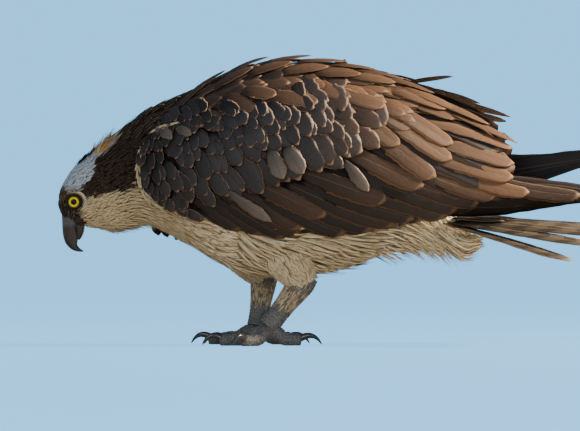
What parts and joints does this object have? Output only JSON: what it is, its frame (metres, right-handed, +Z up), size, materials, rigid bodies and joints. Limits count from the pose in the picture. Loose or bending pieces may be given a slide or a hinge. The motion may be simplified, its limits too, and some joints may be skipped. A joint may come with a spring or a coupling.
{
  "type": "osprey",
  "caption": "Life-size still osprey on its own feet, head bent down, wings loosely folded, with flight feathers and coverts as overlapping vanes.",
  "frame": {"origin": "middle of the base of the bird's own box, at the level of its soles", "axes": "+Z up, the bill faces -X and the tail +X, the bird's left side faces -Y"},
  "size_m": [0.5708, 0.2746, 0.2869],
  "materials": {
    "eye": "glossy yellow iris with a black pupil and rim",
    "bill": "smooth black horn with a blue-grey cere",
    "talon": "polished black horn",
    "foot": "rough blue-grey scales with spiny pads",
    "tarsus": "netted blue-grey scales",
    "thigh": "short white feathers mottled with grey",
    "head": "short white feathers with a dark brown stripe through the eye",
    "neck": "dark brown feathers behind, white in front",
    "torso": "white to buff feathers below, dark brown above",
    "tail": "brown feathers with dark bars",
    "wing": "dark brown feathers with thin pale edges"
  },
  "bodies": {
    "root": {"thigh_left": "thigh", "tarsus_left": "tarsus", "foot_left": "foot", "talon_inner_left": "talon", "talon_middle_left": "talon", "talon_outer_left": "talon", "talon_hind_left": "talon", "eye_left": "eye", "wing_left": "wing", "thigh_right": "thigh", "tarsus_right": "tarsus", "foot_right": "foot", "talon_inner_right": "talon", "talon_middle_right": "talon", "talon_outer_right": "talon", "talon_hind_right": "talon", "eye_right": "eye", "wing_right": "wing", "head": "head", "bill_upper": "bill", "bill_lower": "bill", "neck": "neck", "torso": "torso", "tail": "tail"}
  },
  "joints": []
}
